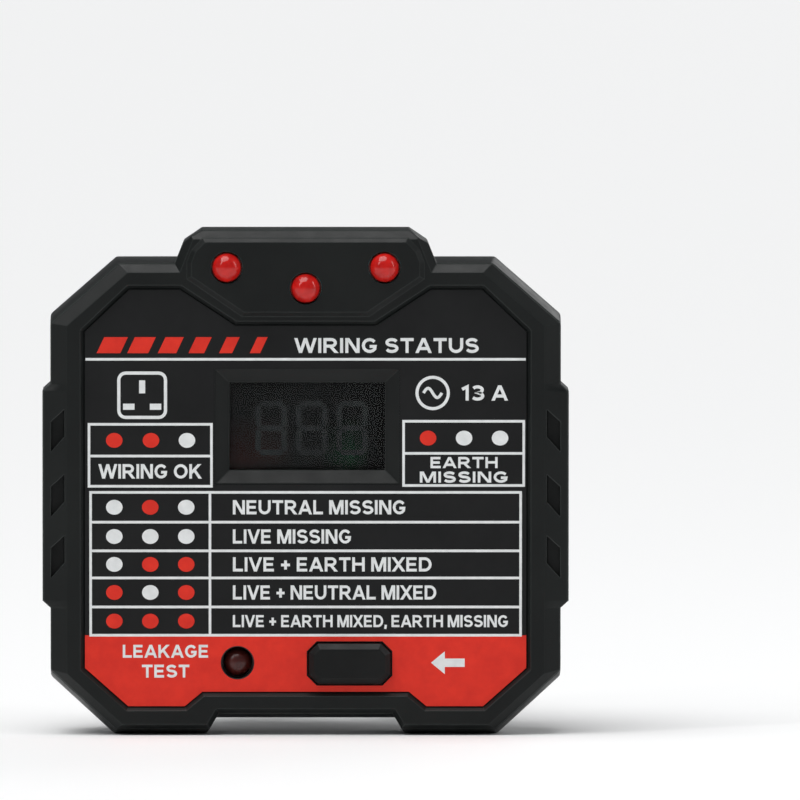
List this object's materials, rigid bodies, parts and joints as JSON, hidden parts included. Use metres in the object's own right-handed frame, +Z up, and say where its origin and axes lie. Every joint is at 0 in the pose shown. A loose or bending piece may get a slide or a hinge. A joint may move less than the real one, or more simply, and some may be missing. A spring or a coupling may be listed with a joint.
{
  "type": "outlet tester plug",
  "caption": "Plug-in tester for British sockets: faceted black case, lamps on a brow, display window, printed panel, sprung test button and rectangular pins.",
  "frame": {"origin": "centre of the pin pattern on the outer face of the pin plate, the face that meets the socket", "axes": "+Y along the pins into the socket, +Z up with the earth pin at the top, +X to the right as the display is read"},
  "size_m": [0.069, 0.0542, 0.0664],
  "materials": {
    "case_black": "satin moulded ABS with a fine texture",
    "button_black": "semi-gloss moulded plastic",
    "label_print": "matt printed polycarbonate film",
    "window_clear": "clear acrylic with a dark tint",
    "lcd_dark": "unlit liquid-crystal glass",
    "diffuser_white": "milky acrylic",
    "frame_white": "moulded white plastic",
    "zebra_rubber": "layered conductive silicone",
    "lamp_red": "translucent red epoxy",
    "lamp_dark_red": "translucent dark red epoxy",
    "tinned_wire": "tinned",
    "pin_metal": "bright nickel plate on brass",
    "sleeve_black": "moulded insulating sleeve",
    "collar_white": "smooth pale plastic",
    "retainer_grey": "glass-filled plastic",
    "screw_steel": "zinc plated",
    "board_green": "solder mask on glass epoxy",
    "capacitor_yellow": "boxed film capacitor",
    "capacitor_sleeve": "shrink sleeve",
    "varistor_blue": "epoxy dip",
    "fuse_grey": "ceramic-look body",
    "chip_black": "moulded epoxy",
    "resistor_green": "cement coat",
    "can_metal": "nickel plated can",
    "switch_plastic": "moulded nylon",
    "wire_green": "insulation",
    "wire_brown": "insulation",
    "wire_blue": "insulation"
  },
  "bodies": {
    "case": {"board_screws": "screw_steel", "bridge_rectifier": "chip_black", "bulk_capacitor": "capacitor_sleeve", "chip_legs": "tinned_wire", "chip_resistors": "chip_black", "controller_chip": "chip_black", "crystal": "can_metal", "display_window": "window_clear", "earth_collar": "collar_white", "earth_pin": "pin_metal", "earth_wire": "wire_green", "film_capacitor": "capacitor_yellow", "front_cover": "case_black", "fuse_link": "fuse_grey", "label_panel": "label_print", "lcd_backlight": "diffuser_white", "lcd_frame": "frame_white", "lcd_glass": "lcd_dark", "led_leads": "tinned_wire", "led_left": "lamp_red", "led_middle": "lamp_red", "led_right": "lamp_red", "live_collar": "collar_white", "live_pin": "pin_metal", "live_sleeve": "sleeve_black", "live_wire": "wire_brown", "main_board": "board_green", "neutral_collar": "collar_white", "neutral_pin": "pin_metal", "neutral_sleeve": "sleeve_black", "neutral_wire": "wire_blue", "pin_plate": "case_black", "pin_retainer": "retainer_grey", "rcd_led": "lamp_dark_red", "rear_shell": "case_black", "retainer_screws": "screw_steel", "switch_body": "switch_plastic", "switch_cover": "screw_steel", "switch_dome": "screw_steel", "test_load_resistors": "resistor_green", "test_triac": "chip_black", "varistor": "varistor_blue", "zebra_strip": "zebra_rubber"},
    "test_button": {"rcd_button": "button_black"},
    "switch_plunger": {"switch_plunger": "button_black"}
  },
  "joints": [
    {"name": "button_press", "type": "slide", "parent": "case", "child": "test_button", "axis": [0, 1, 0], "range_m": [0, 0.0005], "stiffness_N_per_m": 1200, "springref_m": -0.0005},
    {"name": "plunger_press", "type": "slide", "parent": "case", "child": "switch_plunger", "axis": [0, 1, 0], "range_m": [0, 0.0005]}
  ],
  "couplings": [
    {"joint": "plunger_press", "follows": "button_press", "ratio": 1}
  ]
}
